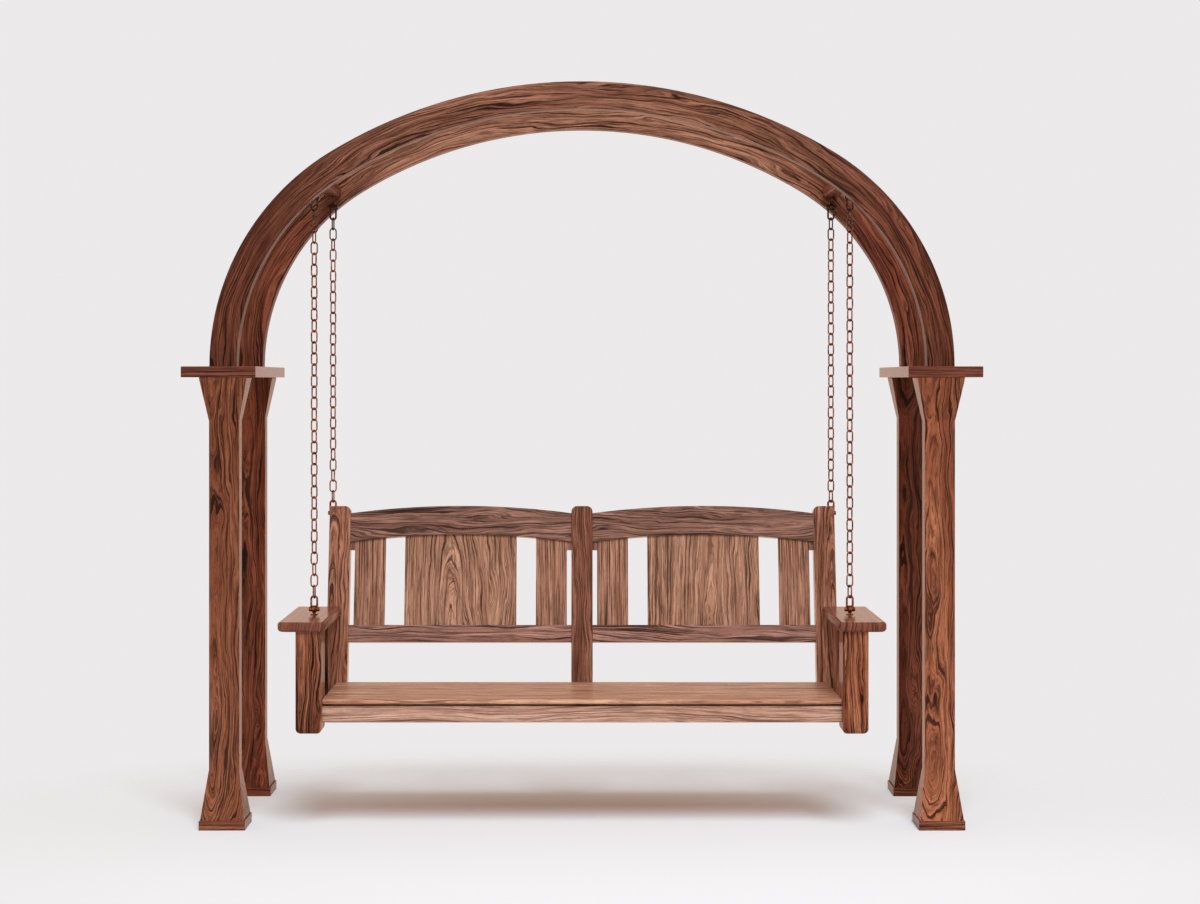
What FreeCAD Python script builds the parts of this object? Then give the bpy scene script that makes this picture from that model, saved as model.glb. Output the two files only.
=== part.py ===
# Garden swing: a two-seat timber bench on four chains, hung between a pair of
# three-centred arches that stand on four posts with flared capitals and feet.
# Millimetres, +X to the right seen from the front, +Y to the back, +Z up from the floor.
import FreeCAD, Part
import math
import os

doc = FreeCAD.newDocument("garden_swing")
sheet = doc.addObject("Spreadsheet::Sheet", "sizes")
sub_parts = []

# Driving dimensions: name, size, what it measures
DIMENSIONS = [
    ("post_room", 333, "middle of a post outside the inner face of a front leg"),
    ("post_spacing", 574, "between the middles of the front and rear posts"),
    ("frame_setback", 34, "middle of the four posts behind the origin"),
    ("post_width", 100, "shaft across"),
    ("post_depth", 56, "shaft front to back"),
    ("foot_width", 152, "foot across at the floor"),
    ("foot_depth", 150, "foot front to back at the floor"),
    ("foot_height", 190, "foot, plinth included"),
    ("plinth_height", 30, "straight block under the foot's taper"),
    ("plinth_reveal", 4, "plinth beyond the foot's taper, all round"),
    ("capital_width", 158, "capital across at its top"),
    ("capital_depth", 110, "capital front to back at its top"),
    ("capital_height", 144, "capital's taper"),
    ("plate_underside", 1487, "underside of the cap plates above the floor"),
    ("plate_width", 246, "cap plate across"),
    ("plate_depth", 690, "cap plate front to back"),
    ("plate_outset", 15, "middle of a cap plate outside the middle of its posts"),
    ("plate_thickness", 36, "cap plate"),
    ("arch_band", 90, "arch timber from its inner to its outer edge"),
    ("arch_depth", 56, "arch timber front to back"),
    ("arch_outset", 4, "middle of the arch timber outside the middle of a post"),
    ("arch_side_radius", 830, "outer radius of the two side arcs"),
    ("arch_lift", 112, "top of the arch above the circles of the side arcs"),
    ("beam_outset", 38, "middle of a hanger beam outside the inner face of a front leg"),
    ("beam_width", 52, "hanger beam across"),
    ("beam_height", 36, "hanger beam from bottom to top"),
    ("beam_lift", 10, "middle of a hanger beam above the middle line of the arches"),
    ("dowel_diameter", 12, "frame dowels"),
    ("dowel_length", 150, "frame dowels"),
    ("dowel_spread", 44, "between the two dowels of a post or an arch joint"),
    ("beam_dowel_spread", 18, "between the two dowels at a beam's end"),
    ("beam_dowel_seat", 45, "how far a beam's dowel goes into the arch"),
    ("beam_dowel_inset", 16, "dowels of a hanger beam inside its middle, clear of the bolts"),
    ("dowel_clearance", 0.05, "between a dowel and its hole, all round"),
    ("front_chain_outset", 51, "front chains outside the inner face of a front leg"),
    ("rear_chain_outset", 35, "rear chains outside the inner face of a front leg"),
    ("front_chain_inset", 240, "front chains behind the front ends of the arms"),
    ("rear_chain_setback", 249, "rear chains behind the origin"),
    ("front_link_count", 35, "links in a front chain"),
    ("rear_link_count", 27, "links in a rear chain"),
    ("link_wire", 5, "wire of a link"),
    ("link_gap", 18, "inside of a link, across"),
    ("link_play", 0.3, "slack between a link and what it hangs on"),
    ("link_twist", 112, "turn of the first link from the front, in degrees"),
    ("link_lean", 23, "further turn of the links away from a chain's ends, in degrees"),
    ("lean_links", 5, "links at either end over which that turn comes about"),
    ("shackle_wire", 7, "bow of a shackle"),
    ("shackle_jaw", 13, "between the cheeks of a shackle"),
    ("shackle_reach", 44, "pin to the middle of the bow's wire"),
    ("shackle_cheek", 8, "radius of a shackle's cheek"),
    ("pin_diameter", 8, "shackle pin"),
    ("pin_clearance", 0.08, "between a pin and its bore, all round"),
    ("pin_head_radius", 7, "head at either end of a pin"),
    ("pin_head_thickness", 4, "head at either end of a pin"),
    ("eye_radius", 13, "outer radius of an eye or lug"),
    ("eye_width", 11, "eye or lug along its pin"),
    ("eye_rise", 18, "pin to the top of an arm"),
    ("hanger_rise", 40, "pin to the underside of a hanger beam"),
    ("bolt_diameter", 10, "shank of an eye bolt"),
    ("bolt_tail", 15, "thread of an eye bolt past the timber"),
    ("bolt_clearance", 0.1, "between a shank and its hole, all round"),
    ("collar_radius", 12, "seat of an eye bolt and flange of a nut"),
    ("collar_thickness", 3, "seat of an eye bolt and flange of a nut"),
    ("nut_radius", 10, "nut over its corners, half"),
    ("nut_height", 9, "nut above its flange"),
    ("seat_top", 436, "top of the seat boards above the floor"),
    ("seat_inset", 32, "front edge of the seat behind the front ends of the arms"),
    ("seat_end_gap", 2, "between a seat board's end and the inner face of a leg"),
    ("board_width", 76, "seat board front to back"),
    ("board_pitch", 80.5, "from one seat board to the next"),
    ("board_thickness", 16, "seat board"),
    ("board_count", 5, "seat boards"),
    ("seat_nose", 7.5, "rounding of the first seat board's front"),
    ("leg_inner", 849, "inner face of the front legs from the centre line"),
    ("leg_width", 84, "front leg across"),
    ("leg_inset", 15, "front face of the front legs behind the front ends of the arms"),
    ("leg_depth", 100, "front leg front to back"),
    ("leg_foot", 324, "bottom of the front legs above the floor"),
    ("leg_corner", 18, "rounding of a leg's bottom"),
    ("rail_setback", 30, "front rail behind the front of the legs"),
    ("rail_thickness", 36, "seat rails"),
    ("rail_height", 56, "seat rails"),
    ("rail_drop", 6, "top of the seat rails below the seat boards"),
    ("bearer_width", 30, "end bearers under the seat, across"),
    ("bearer_height", 40, "end bearers under the seat"),
    ("centre_bearer_width", 44, "middle bearer under the seat, across"),
    ("arm_overlap", 13, "inner edge of an arm inside the inner face of a front leg"),
    ("arm_width", 157, "arm across"),
    ("arm_lead", 396, "front ends of the arms ahead of the origin"),
    ("arm_top", 690, "top of the arms above the floor"),
    ("arm_thickness", 32, "arm"),
    ("arm_corner", 30, "rounding of an arm's corners, seen from above"),
    ("arm_edge", 11, "rounding of an arm's edges"),
    ("side_slat_inset", 276, "front edge of the slat under each arm behind the arm's front end"),
    ("side_slat_width", 90, "slat under each arm, front to back"),
    ("side_slat_thickness", 18, "slat under each arm"),
    ("back_setback", 40, "front of the back posts at the seat, behind the origin"),
    ("recline", 12, "lean of the back, in degrees"),
    ("back_post_width", 74, "back post across"),
    ("back_post_thickness", 52, "back post"),
    ("back_post_top", 613, "top of the back posts above the seat, along the post"),
    ("back_post_foot", 90, "bottom of the end back posts below the seat, along the post"),
    ("back_post_corner", 20, "rounding of a back post's top"),
    ("back_rail_inset", 8, "face of the back rails behind the face of the posts"),
    ("back_rail_thickness", 36, "back rails"),
    ("lower_rail_base", 137, "underside of the lower back rails above the seat"),
    ("lower_rail_height", 60, "lower back rails"),
    ("rear_rail_top", 24, "top of the rear seat rail below the seat, along the post"),
    ("crest_base", 488, "underside of a crest rail at its ends above the seat"),
    ("crest_height", 101, "crest rail from bottom to top"),
    ("crest_rise", 26, "crown of a crest rail"),
    ("slat_thickness", 16, "back slats and panels"),
    ("slat_inset", 18, "face of the slats behind the face of the posts"),
    ("slat_width", 108, "narrow back slat"),
    ("slat_end_gap", 16, "between a post and the first slat"),
    ("slat_gap", 68, "between a narrow slat and the wide panel"),
    ("slat_tongue", 9, "slat let into a rail"),
    ("spacer_height", 28, "spacer block under a crest rail's end"),
    ("tenon_length", 30, "rail tenons"),
    ("tenon_thickness", 12, "rail tenons"),
    ("tenon_shoulder", 10, "rail above and below its tenon"),
    ("leg_tenon_length", 14, "tenon on a leg's top"),
    ("leg_tenon_width", 40, "tenon on a leg's top, each way"),
    ("joint_clearance", 0.1, "between a tenon and its mortise, all round"),
    ("wood_edge", 3, "eased edges of the timber"),
    ("bracket_width", 40, "flange of a rear hanger bracket, across"),
    ("bracket_height", 66, "flange of a rear hanger bracket"),
    ("bracket_thickness", 6, "flange of a rear hanger bracket"),
    ("bracket_outset", 17, "middle of the flange outside the middle of a back post"),
    ("screw_diameter", 7, "coach screws"),
    ("screw_length", 100, "coach screws under the head"),
    ("screw_head_radius", 7, "coach screw head over its corners, half"),
    ("screw_head_height", 5, "coach screw head"),
    ("bracket_screw_length", 40, "bracket screws under the head"),
    ("bracket_screw_outset", 6, "bracket screws outside the middle of a back post"),
    ("bracket_screw_spread", 40, "between a bracket's two screws"),
]
for row, (alias, number, meaning) in enumerate(DIMENSIONS, start=1):
    sheet.set(f"A{row}", meaning)
    sheet.set(f"B{row}", str(number))
    sheet.setAlias(f"B{row}", alias)
doc.recompute()


class Sizes:
    """The sheet's numbers by name, for what is worked out in this file."""

    def __getattr__(self, alias):
        return float(sheet.get(alias))


size = Sizes()
ALONG_X = FreeCAD.Rotation(FreeCAD.Vector(0, 1, 0), 90)
ALONG_Y = FreeCAD.Rotation(FreeCAD.Vector(1, 0, 0), -90)
UPSIDE_DOWN = FreeCAD.Rotation(FreeCAD.Vector(1, 0, 0), 180)
UPRIGHT = FreeCAD.Rotation()
SIDES = (("left", -1), ("right", 1))


def bound(text):
    """An expression on the sheet: each word in it is one of the sheet's names."""
    words = set(alias for alias, number, meaning in DIMENSIONS)
    out = []
    for token in text.replace("(", " ( ").replace(")", " ) ").split():
        out.append("sizes." + token if token in words else token)
    return " ".join(out)


def bind(item, **expressions):
    """Bind properties of an object to expressions on the sheet."""
    for prop, text in expressions.items():
        item.setExpression(prop.replace("__", "."), bound(str(text)))
    return item


def put(item, x, y, z, rotation=UPRIGHT):
    """Place an object at expressions on the sheet."""
    item.Placement = FreeCAD.Placement(FreeCAD.Vector(), rotation)
    return bind(item, Placement__Base__x=x, Placement__Base__y=y, Placement__Base__z=z)


def block(name, wide, deep, tall, x, y, z):
    """A squared timber by its size and its lowest corner."""
    item = doc.addObject("Part::Box", name)
    bind(item, Length=wide, Width=deep, Height=tall)
    return put(item, x, y, z)


def rod(name, radius, length, x, y, z, rotation=UPRIGHT):
    """A round bar by its radius, its length and the middle of its first end."""
    item = doc.addObject("Part::Cylinder", name)
    bind(item, Radius=radius, Height=length)
    return put(item, x, y, z, rotation)


def join(name, *items):
    fused = doc.addObject("Part::MultiFuse", name)
    fused.Shapes = list(items)
    fused.Refine = True
    return fused


def cut(name, base, *tools):
    """The base with every tool taken out of it."""
    if len(tools) > 1:
        tool = doc.addObject("Part::MultiFuse", name + "_cuts")
        tool.Shapes = list(tools)
    else:
        tool = tools[0]
    result = doc.addObject("Part::Cut", name)
    result.Base = base
    result.Tool = tool
    return result


def overlap(name, first, second):
    shared = doc.addObject("Part::Common", name)
    shared.Base = first
    shared.Tool = second
    return shared


def ease(name, base, radius, wanted):
    """The base with the wanted edges rounded."""
    doc.recompute()
    item = doc.addObject("Part::Fillet", name)
    item.Base = base
    numbered = enumerate(base.Shape.Edges, start=1)
    item.Edges = [(number, radius, radius) for number, edge in numbered if wanted(edge)]
    return item


def direction(edge):
    """The edge's direction as a letter, or nothing where it is round."""
    if not isinstance(edge.Curve, Part.Line):
        return None
    along = edge.Curve.Direction
    parts = {"x": abs(along.x), "y": abs(along.y), "z": abs(along.z)}
    return max(parts, key=parts.get)


def along(letters):
    """A rule for ease: straight edges that run along these axes."""
    return lambda edge: direction(edge) in tuple(letters)


def finish(item, label):
    """Make an object one of the swing's pieces."""
    item.Label = label
    sub_parts.append(item)
    return item


def group(label, shape, places):
    """Copies of one piece that share a node, each a solid of its own."""
    item = doc.addObject("Part::Feature", label)
    copies = []
    for place in places:
        copy = shape.copy()
        copy.Placement = place.multiply(copy.Placement)
        copies.append(copy)
    item.Shape = Part.makeCompound(copies)
    item.Placement = FreeCAD.Placement()
    return finish(item, label)


def at(x, y, z, rotation=UPRIGHT):
    return FreeCAD.Placement(FreeCAD.Vector(x, y, z), rotation)


# The back leans about the line where its front meets the seat
LEAN = FreeCAD.Rotation(FreeCAD.Vector(1, 0, 0), -size.recline)
BACK = at(0, size.back_setback, size.seat_top, LEAN)


def lean(item):
    """Stand a piece that was made upright, from the seat up, in the leaning back."""
    item.Placement = BACK
    bind(item, Placement__Base__y="back_setback", Placement__Base__z="seat_top")
    return item


# Places that follow from the bench: its legs across, its arms front to back
POST_OFFSET = "( leg_inner + post_room )"
BEAM_X = "( leg_inner + beam_outset )"
CHAIN_X = {"front": "( leg_inner + front_chain_outset )", "rear": "( leg_inner + rear_chain_outset )"}
CHAIN_Y = {"front": "( front_chain_inset - arm_lead )", "rear": "rear_chain_setback"}
ARM_INNER = "( leg_inner - arm_overlap )"
SEAT_FRONT = "( seat_inset - arm_lead )"
LEG_FRONT = "( leg_inset - arm_lead )"
SEAT_HALF = "( leg_inner - seat_end_gap )"
SLAT_FRONT = "( side_slat_inset - arm_lead )"
post_offset = size.leg_inner + size.post_room
beam_x = size.leg_inner + size.beam_outset
chain_x = {"front": size.leg_inner + size.front_chain_outset, "rear": size.leg_inner + size.rear_chain_outset}
chain_y = {"front": size.front_chain_inset - size.arm_lead, "rear": size.rear_chain_setback}
leg_front = size.leg_inset - size.arm_lead

# The arch: two side arcs and a flatter crown that runs on from them
arch_spring = size.plate_underside + size.plate_thickness
ARCH_SPRING = "( plate_underside + plate_thickness )"
SIDE_CENTRE = f"( {POST_OFFSET} + arch_outset + arch_band / 2 - arch_side_radius )"
ARCH_RISE = "( arch_side_radius + arch_lift )"
CROWN_RADIUS = (f"( ( {SIDE_CENTRE} * {SIDE_CENTRE} + {ARCH_RISE} * {ARCH_RISE} - arch_side_radius"
                f" * arch_side_radius ) / ( 2 * arch_lift ) )")
side_centre = post_offset + size.arch_outset + size.arch_band / 2 - size.arch_side_radius
arch_rise = size.arch_side_radius + size.arch_lift
crown_radius = (side_centre ** 2 + arch_rise ** 2 - size.arch_side_radius ** 2) / (2 * size.arch_lift)
crown_half_angle = math.degrees(math.atan2(side_centre, crown_radius - arch_rise))
side_angle = 90 - crown_half_angle

# Each hanger beam lies a little above the middle line of the arches' timber, and the chains hang below it:
# a shackle at either end and links of one pitch between
line_centre_x, line_centre_z = side_centre, arch_spring
line_radius = size.arch_side_radius - size.arch_band / 2
if beam_x - side_centre < line_radius * math.sin(math.radians(crown_half_angle)):
    line_centre_x, line_centre_z = 0, arch_spring + arch_rise - crown_radius
    line_radius = crown_radius - size.arch_band / 2
beam_middle = line_centre_z + math.sqrt(line_radius ** 2 - (beam_x - line_centre_x) ** 2)
beam_base = beam_middle + size.beam_lift - size.beam_height / 2
hanger_pin = beam_base - size.hanger_rise
arm_pin = size.arm_top + size.eye_rise
shackle_seat = size.shackle_reach - size.shackle_wire / 2 - size.link_wire / 2 - size.link_play
end_reach = 2 * shackle_seat + size.link_play + size.link_wire
front_drop = hanger_pin - arm_pin
link_pitch = (front_drop - end_reach) / size.front_link_count
rear_drop = end_reach + link_pitch * size.rear_link_count
bracket_pin = hanger_pin - rear_drop

# Dowels, all alike: holes are cut by a bar a little wider than the dowel
DOWEL_HOLE = "( dowel_diameter / 2 + dowel_clearance )"
dowel_places = []


def dowel_hole(name, place):
    """A cutter for one dowel, and the dowel's own place."""
    item = doc.addObject("Part::Cylinder", name)
    bind(item, Radius=DOWEL_HOLE, Height="dowel_length")
    item.Placement = place
    return item


# Posts, cap plates and arches
TAPER_WIDTH = "( foot_width - 2 * plinth_reveal )"
TAPER_DEPTH = "( foot_depth - 2 * plinth_reveal )"
for row_name, row_sign in (("front", -1), ("rear", 1)):
    row_y = f"( frame_setback + {row_sign} * post_spacing / 2 )"
    middle_y = size.frame_setback + row_sign * size.post_spacing / 2
    for side_name, side in SIDES:
        label = f"{row_name}_{side_name}_post"
        middle_x = side * post_offset
        post_x = f"( {side} * {POST_OFFSET} )"
        shaft = block(label + "_shaft", "post_width", "post_depth", "plate_underside",
                      f"{post_x} - post_width / 2", f"{row_y} - post_depth / 2", "0")
        shaft = ease(label + "_shaft_eased", shaft, size.wood_edge, along("z"))
        plinth = block(label + "_plinth", "foot_width", "foot_depth", "plinth_height",
                       f"{post_x} - foot_width / 2", f"{row_y} - foot_depth / 2", "0")
        plinth = ease(label + "_plinth_eased", plinth, size.wood_edge, along("z"))
        tapers = []
        for taper_name, wide, deep, tall, base in (
                ("foot", TAPER_WIDTH, TAPER_DEPTH, "( foot_height - plinth_height )", "plinth_height"),
                ("capital", "capital_width", "capital_depth", "capital_height", "plate_underside")):
            # A capital is a foot turned over, so its wide end meets the cap plate
            turned = FreeCAD.Rotation(FreeCAD.Vector(1, 0, 0), 90 if taper_name == "foot" else -90)
            taper = doc.addObject("Part::Wedge", f"{label}_{taper_name}")
            bind(taper, Xmin=f"- {wide} / 2", Xmax=f"{wide} / 2", Zmin=f"- {deep} / 2", Zmax=f"{deep} / 2",
                 Ymin="0", Ymax=tall, X2min="- post_width / 2", X2max="post_width / 2",
                 Z2min="- post_depth / 2", Z2max="post_depth / 2")
            put(taper, post_x, row_y, base, turned)
            tapers.append(ease(f"{label}_{taper_name}_eased", taper, size.wood_edge,
                               lambda edge: direction(edge) == "y"))
        post = join(label + "_whole", shaft, plinth, *tapers)
        holes = []
        for dowel_side in (-1, 1):
            place = at(middle_x + dowel_side * size.dowel_spread / 2, middle_y,
                       arch_spring - size.plate_thickness / 2 - size.dowel_length / 2)
            dowel_places.append(place)
            holes.append(dowel_hole(f"{label}_dowel_{dowel_side + 1}", place))
        finish(cut(label, post, *holes), label)

        # The arch's side segment stands on the plate over the post
        label = f"{row_name}_arch_{side_name}"
        start = at(0, 0, 0, FreeCAD.Rotation(FreeCAD.Vector(1, 0, 0), 90))
        if side < 0:
            start = start.multiply(at(0, 0, 0, FreeCAD.Rotation(FreeCAD.Vector(0, 0, 1), 180 - side_angle)))
        rings = []
        for ring_name, radius in (("outer", "arch_side_radius"), ("inner", "arch_side_radius - arch_band")):
            ring = doc.addObject("Part::Cylinder", f"{label}_{ring_name}")
            bind(ring, Radius=radius, Height="arch_depth")
            ring.Angle = side_angle
            rings.append(put(ring, f"{side} * {SIDE_CENTRE}", f"{row_y} + arch_depth / 2",
                             ARCH_SPRING, start.Rotation))
        band = ease(label + "_eased", cut(label + "_band", *rings), size.wood_edge,
                    lambda edge: not isinstance(edge.Curve, Part.Line))
        joint_holes = []
        joint_turn = math.radians(90 - side * crown_half_angle)
        for dowel_side in (-1, 1):
            reach = size.arch_side_radius - size.arch_band / 2 + dowel_side * size.dowel_spread / 2
            joint_x = side * side_centre + reach * math.cos(joint_turn)
            joint_z = arch_spring + reach * math.sin(joint_turn)
            turn = FreeCAD.Rotation(FreeCAD.Vector(0, 1, 0), 90 + side * crown_half_angle)
            place = at(joint_x, middle_y, joint_z, turn).multiply(at(0, 0, -size.dowel_length / 2))
            dowel_places.append(place)
            joint_holes.append(dowel_hole(f"{label}_joint_dowel_{dowel_side + 1}", place))
        beam_holes = []
        for dowel_side in (-1, 1):
            inner_face = middle_y - row_sign * size.arch_depth / 2
            first_end = inner_face + row_sign * size.beam_dowel_seat
            last_end = first_end - row_sign * size.dowel_length
            place = at(side * (beam_x - size.beam_dowel_inset), min(first_end, last_end),
                       beam_base + size.beam_height / 2 + dowel_side * size.beam_dowel_spread / 2, ALONG_Y)
            dowel_places.append(place)
            beam_holes.append(dowel_hole(f"{label}_beam_dowel_{dowel_side + 1}", place))
        finish(cut(label, band, *holes, *joint_holes, *beam_holes), label)

    # The crown segment closes the arch over the bench
    label = f"{row_name}_arch_crown"
    rings = []
    crown_start = FreeCAD.Rotation(FreeCAD.Vector(1, 0, 0), 90).multiply(
        FreeCAD.Rotation(FreeCAD.Vector(0, 0, 1), 90 - crown_half_angle))
    for ring_name, radius in (("outer", CROWN_RADIUS), ("inner", f"{CROWN_RADIUS} - arch_band")):
        ring = doc.addObject("Part::Cylinder", f"{label}_{ring_name}")
        bind(ring, Radius=radius, Height="arch_depth")
        ring.Angle = 2 * crown_half_angle
        rings.append(put(ring, "0", f"{row_y} + arch_depth / 2",
                         f"{ARCH_SPRING} + {ARCH_RISE} - {CROWN_RADIUS}", crown_start))
    band = ease(label + "_eased", cut(label + "_band", *rings), size.wood_edge,
                lambda edge: not isinstance(edge.Curve, Part.Line))
    joint_cutters = [item for item in doc.Objects
                     if item.Name.startswith(f"{row_name}_arch_") and "joint_dowel" in item.Name]
    finish(cut(label, band, *joint_cutters), label)

for side_name, side in SIDES:
    label = f"{side_name}_cap_plate"
    plate_x = f"{side} * ( {POST_OFFSET} + plate_outset ) - plate_width / 2"
    plate = block(label + "_board", "plate_width", "plate_depth", "plate_thickness", plate_x,
                  "frame_setback - plate_depth / 2", "plate_underside")
    plate = ease(label + "_eased", plate, size.wood_edge, lambda edge: True)
    cutters = [item for item in doc.Objects
               if f"_{side_name}_post_dowel" in item.Name]
    finish(cut(label, plate, *cutters), label)

# Hanger beams between the two arches, bored for the eye bolts
bolt_hole = "( bolt_diameter / 2 + bolt_clearance )"
for side_name, side in SIDES:
    label = f"{side_name}_hanger_beam"
    beam = block(label + "_timber", "beam_width", "post_spacing - arch_depth", "beam_height",
                 f"{side} * {BEAM_X} - beam_width / 2",
                 "frame_setback - ( post_spacing - arch_depth ) / 2", beam_base)
    beam = ease(label + "_eased", beam, size.wood_edge, along("y"))
    bores = []
    for row_name in ("front", "rear"):
        bores.append(rod(f"{label}_{row_name}_bore", bolt_hole, "beam_height",
                         f"{side} * {CHAIN_X[row_name]}", CHAIN_Y[row_name], beam_base))
    cutters = [item for item in doc.Objects if f"_arch_{side_name}_beam_dowel" in item.Name]
    finish(cut(label, beam, *bores, *cutters), label)

dowel = rod("dowel", "dowel_diameter / 2", "dowel_length", "0", "0", "0")
doc.recompute()
group("frame_dowels", dowel.Shape, dowel_places)


# Eye bolts, nuts, shackles, pins and links, each made once at its pin or seat
def eye_bolt(name, rise, grip):
    """An eye bolt whose pin lies at the origin and whose shank goes up through the timber."""
    eye = rod(name + "_eye", "eye_radius", "eye_width", "- eye_width / 2", "0", "0", ALONG_X)
    neck = rod(name + "_neck", "bolt_diameter / 2", f"{rise} + {grip} + bolt_tail", "0", "0", "0")
    seat = rod(name + "_seat", "collar_radius", "collar_thickness", "0", "0",
               f"{rise} - collar_thickness")
    bore = rod(name + "_bore", "pin_diameter / 2 + pin_clearance", "2 * eye_width", "- eye_width", "0", "0",
               ALONG_X)
    return cut(name, join(name + "_forging", eye, neck, seat), bore)


hanger_eye = eye_bolt("hanger_eye", "hanger_rise", "beam_height")
arm_eye = eye_bolt("arm_eye", "eye_rise", "arm_thickness")

flange = rod("nut_flange", "collar_radius", "collar_thickness", "0", "0", "0")
hexagon = doc.addObject("Part::Prism", "nut_hexagon")
hexagon.Polygon = 6
bind(hexagon, Circumradius="nut_radius", Height="collar_thickness + nut_height")
nut = cut("nut", join("nut_blank", flange, hexagon),
          rod("nut_thread", bolt_hole, "2 * ( collar_thickness + nut_height )", "0", "0", "- nut_height"))

# A shackle hangs from its pin at the origin with its bow below
leg_offset = "( shackle_jaw / 2 + shackle_wire / 2 )"
bow_centre = f"( shackle_reach - {leg_offset} )"
bow = doc.addObject("Part::Torus", "shackle_bow")
bind(bow, Radius1=leg_offset, Radius2="shackle_wire / 2")
bow.Angle3 = 180
put(bow, "0", "0", f"- {bow_centre}", FreeCAD.Rotation(FreeCAD.Vector(1, 0, 0), -90))
shackle_pieces = [bow]
for side_name, side in SIDES:
    shackle_pieces.append(rod(f"shackle_{side_name}_leg", "shackle_wire / 2", bow_centre,
                              f"{side} * {leg_offset}", "0", f"- {bow_centre}"))
    shackle_pieces.append(rod(f"shackle_{side_name}_cheek", "shackle_cheek", "shackle_wire",
                              f"{side} * {leg_offset} - shackle_wire / 2", "0", "0", ALONG_X))
half_pin = "( shackle_jaw / 2 + shackle_wire )"
shackle_bore = rod("shackle_bore", "pin_diameter / 2", f"2 * {half_pin}", f"- {half_pin}", "0", "0", ALONG_X)
shackle = cut("shackle", join("shackle_forging", *shackle_pieces), shackle_bore)

pin_pieces = [rod("pin_shank", "pin_diameter / 2", f"2 * {half_pin}", f"- {half_pin}", "0", "0", ALONG_X)]
for side_name, head_x in (("left", f"- {half_pin} - pin_head_thickness"), ("right", half_pin)):
    head = rod(f"pin_{side_name}_head", "pin_head_radius", "pin_head_thickness", head_x, "0", "0", ALONG_X)
    pin_pieces.append(head)
pin = join("pin", *pin_pieces)

# A link stands upright with its middle at the origin, flat across the front
bend = "( link_gap / 2 + link_wire / 2 )"
half_straight = f"( ( {link_pitch} + link_play - link_gap ) / 2 )"
link_pieces = []
for end_name, end, turn in (("top", 1, 90), ("bottom", -1, -90)):
    curve = doc.addObject("Part::Torus", f"link_{end_name}")
    bind(curve, Radius1=bend, Radius2="link_wire / 2")
    curve.Angle3 = 180
    link_pieces.append(put(curve, "0", "0", f"{end} * {half_straight}",
                           FreeCAD.Rotation(FreeCAD.Vector(1, 0, 0), turn)))
for side_name, side in SIDES:
    link_pieces.append(rod(f"link_{side_name}_side", "link_wire / 2", f"2 * {half_straight}",
                           f"{side} * {bend}", "0", f"- {half_straight}"))
link = join("link", *link_pieces)
doc.recompute()

hanger_places = []
for row_name, drop, count in (("front", front_drop, size.front_link_count),
                              ("rear", rear_drop, size.rear_link_count)):
    offset = chain_x[row_name]
    setback = chain_y[row_name]
    tops = [at(side * offset, setback, hanger_pin) for side_name, side in SIDES]
    bottoms = [at(side * offset, setback, hanger_pin - drop, UPSIDE_DOWN) for side_name, side in SIDES]
    hanger_places += tops
    shackle_groups = [("rear", tops + bottoms)]
    if row_name == "front":
        shackle_groups = [("front", tops), ("arm", bottoms)]
    for group_name, places in shackle_groups:
        group(f"{group_name}_shackles", shackle.Shape, places)
        group(f"{group_name}_shackle_pins", pin.Shape, places)
    first_link = hanger_pin - (end_reach + link_pitch) / 2
    for side_name, side in SIDES:
        links = []
        for number in range(int(count)):
            from_end = min(number, count - 1 - number)
            further = size.link_lean * min(from_end / size.lean_links, 1)
            twist = size.link_twist + further + 90 * (number % 2)
            links.append(at(side * offset, setback, first_link - number * link_pitch,
                            FreeCAD.Rotation(FreeCAD.Vector(0, 0, 1), twist)))
        group(f"{row_name}_{side_name}_chain", link.Shape, links)

group("hanger_eye_bolts", hanger_eye.Shape, hanger_places)
nut_places = []
for place in hanger_places:
    nut_places.append(at(place.Base.x, place.Base.y, beam_base + size.beam_height))
group("hanger_nuts", nut.Shape, nut_places)
arm_places = [at(side * chain_x["front"], chain_y["front"], arm_pin, UPSIDE_DOWN)
              for side_name, side in SIDES]
group("arm_eye_bolts", arm_eye.Shape, arm_places)
arm_base = size.arm_top - size.arm_thickness
group("arm_nuts", nut.Shape, [at(place.Base.x, place.Base.y, arm_base, UPSIDE_DOWN) for place in arm_places])


# Rails with a tenon at each end, and the mortises that take them
def rail_blank(name, wide, deep, tall, x, y, z):
    """A straight rail between two posts, with its long edges eased."""
    blank = block(name + "_blank", wide, deep, tall, x, y, z)
    return ease(name + "_eased", blank, size.wood_edge, along("x"))


def rail_tenons(name, wide, deep, tall, x, y, z):
    """A bar that stands out of both ends of a rail as its tenons, and the cutter for their mortises."""
    tenon_y = f"{y} + ( {deep} - tenon_thickness ) / 2"
    tenon = block(name + "_tenon", f"{wide} + 2 * tenon_length", "tenon_thickness",
                  f"{tall} - 2 * tenon_shoulder", f"{x} - tenon_length", tenon_y, f"{z} + tenon_shoulder")
    mortise = block(name + "_mortise", f"{wide} + 2 * tenon_length + 2 * joint_clearance",
                    "tenon_thickness + 2 * joint_clearance",
                    f"{tall} - 2 * tenon_shoulder + 2 * joint_clearance",
                    f"{x} - tenon_length - joint_clearance", f"{tenon_y} - joint_clearance",
                    f"{z} + tenon_shoulder - joint_clearance")
    return tenon, mortise


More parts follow.
